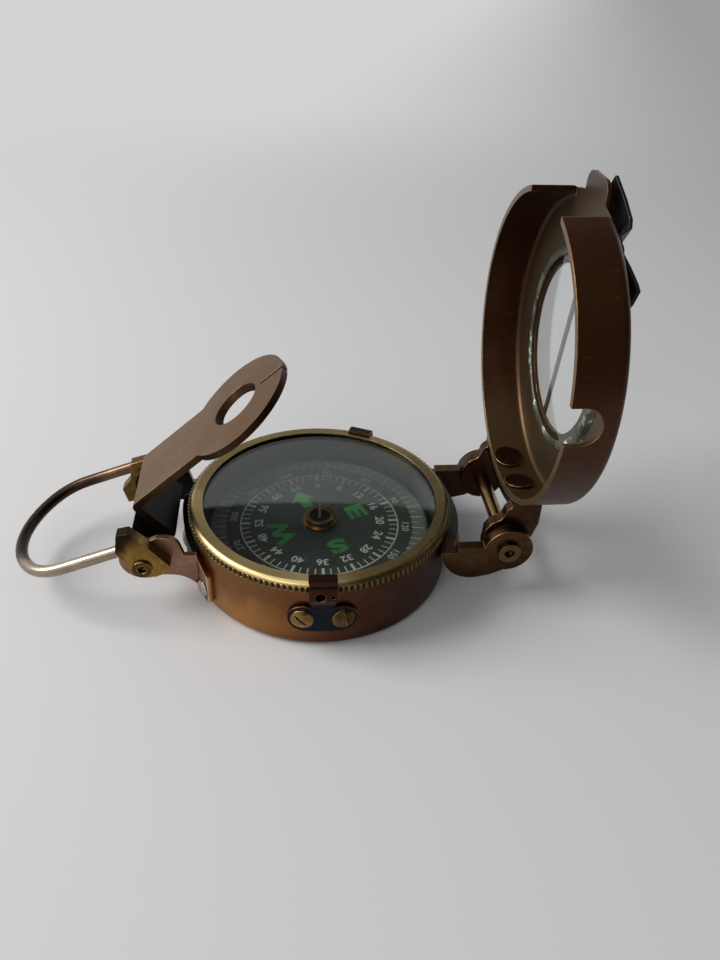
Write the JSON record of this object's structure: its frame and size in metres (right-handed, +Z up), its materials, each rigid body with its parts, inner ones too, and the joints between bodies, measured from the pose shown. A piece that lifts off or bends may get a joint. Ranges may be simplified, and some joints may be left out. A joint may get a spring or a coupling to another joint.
{
  "type": "pocket compass",
  "caption": "Folding brass pocket compass: round case with turning glazed bezel and dial, hinged lid with sighting window, folding eye arm and wire thumb loop.",
  "frame": {"origin": "centre of the case's flat bottom, where it rests on a table", "axes": "+Z up out of the dial, +X towards the lid hinge, the thumb loop at -X; lid open, eye arm raised"},
  "size_m": [0.1173, 0.0614, 0.0855],
  "materials": {
    "case_brass": "aged, brown patina",
    "bezel_brass": "aged, olive patina",
    "arm_brass": "aged, brown satin",
    "loop_brass": "aged, rubbed",
    "bright_brass": "rubbed bright",
    "lid_brass": "dark brown patina",
    "black_steel": "blackened spring steel",
    "bare_steel": "ground",
    "magnet_steel": "dull",
    "card_black": "matt black with pale print",
    "clear_glass": "clear, flat",
    "glass_cement": "pale green, dried",
    "red_jewel": "polished",
    "sight_strip": "dull grey"
  },
  "bodies": {
    "case": {"case_cup": "case_brass", "pivot_post": "bright_brass", "pivot_needle": "bare_steel", "bezel_spring": "case_brass", "bezel_spring_screws": "bright_brass", "rear_bezel_clip": "case_brass", "rear_clip_screws": "bright_brass", "sight_bracket": "case_brass", "sight_bracket_rivets": "bright_brass", "sight_bracket_screw": "bright_brass", "sight_hinge_pin": "bright_brass", "sight_hinge_spacers": "loop_brass", "lid_hinge_base": "case_brass", "lid_hinge_base_rivets": "loop_brass", "lid_hinge_pin": "bright_brass"},
    "dial": {"dial_card": "card_black", "dial_cap": "bright_brass", "dial_cap_jewel": "red_jewel", "dial_magnets": "magnet_steel"},
    "bezel": {"bezel_ring": "bezel_brass", "bezel_glass": "clear_glass", "glass_retaining_ring": "bezel_brass"},
    "sight_arm": {"sight_arm": "arm_brass"},
    "thumb_loop": {"thumb_loop": "loop_brass", "thumb_loop_lugs": "bright_brass"},
    "lid": {"lid_shell": "lid_brass", "lid_glass": "clear_glass", "lid_glass_cement": "glass_cement", "sight_line": "sight_strip", "lid_catch_spring": "black_steel", "lid_catch_rivets": "black_steel", "lid_hinge_strap": "lid_brass", "lid_strap_rivets": "lid_brass"}
  },
  "joints": [
    {"name": "lid_hinge", "type": "hinge", "parent": "case", "child": "lid", "pos_m": [0.039, 0, 0.0124], "axis": [0, 1, 0], "range_deg": [-90, 85]},
    {"name": "sight_arm_hinge", "type": "hinge", "parent": "case", "child": "sight_arm", "pos_m": [-0.0366, 0, 0.0116], "axis": [0, -1, 0], "range_deg": [-40.9, 38.7]},
    {"name": "thumb_loop_hinge", "type": "hinge", "parent": "case", "child": "thumb_loop", "pos_m": [-0.0366, 0, 0.0116], "axis": [0, 1, 0], "range_deg": [-105, 60]},
    {"name": "bezel_turn", "type": "hinge", "parent": "case", "child": "bezel", "pos_m": [0, 0, 0.0147], "axis": [0, 0, 1], "continuous": true},
    {"name": "dial_turn", "type": "hinge", "parent": "case", "child": "dial", "pos_m": [0, 0, 0.0092], "axis": [0, 0, 1], "continuous": true}
  ],
  "couplings": [
    {"joint": "sight_arm_hinge", "follows": "lid_hinge", "ratio": 0.45444}
  ]
}
